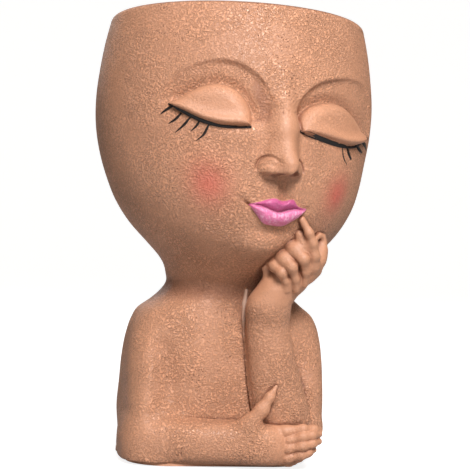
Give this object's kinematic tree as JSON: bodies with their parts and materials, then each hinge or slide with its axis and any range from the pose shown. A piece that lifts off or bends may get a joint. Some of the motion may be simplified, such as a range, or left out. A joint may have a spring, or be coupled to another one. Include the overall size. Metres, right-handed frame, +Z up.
{
  "type": "head planter",
  "caption": "Plant pot shaped as a bust with closed eyes: open bowl in the head, drained through the chest, one forearm raised to the chin and one folded.",
  "frame": {"origin": "on the standing surface, under the middle of the whole width and depth", "axes": "+Z up through the bowl's mouth, the chest and face look towards -Y, the figure's left hand is on +X"},
  "size_m": [0.1274, 0.1338, 0.2],
  "materials": {
    "cast_resin": "brown skin-toned paint on a grained resin casting, low sheen",
    "plate_resin": "plain resin plate, matt",
    "pad_rubber": "soft black rubber",
    "tube_plastic": "plain pale plastic tube",
    "plug_rubber": "black rubber",
    "screen_plastic": "thin black plastic, perforated"
  },
  "bodies": {
    "pot": {"planter_body": "cast_resin", "raised_forearm": "cast_resin", "folded_forearm": "cast_resin", "base_plate": "plate_resin", "foot_pad_1": "pad_rubber", "foot_pad_2": "pad_rubber", "foot_pad_3": "pad_rubber", "foot_pad_4": "pad_rubber", "drain_tube": "tube_plastic"},
    "plug": {"drain_plug": "plug_rubber"},
    "screen": {"drain_screen": "screen_plastic"}
  },
  "joints": [
    {"name": "plug_slide", "type": "slide", "parent": "pot", "child": "plug", "axis": [0, 0, -1], "range_m": [0, 0.016]},
    {"name": "screen_lift", "type": "slide", "parent": "pot", "child": "screen", "axis": [0, 0, 1], "range_m": [0, 0.115]}
  ]
}
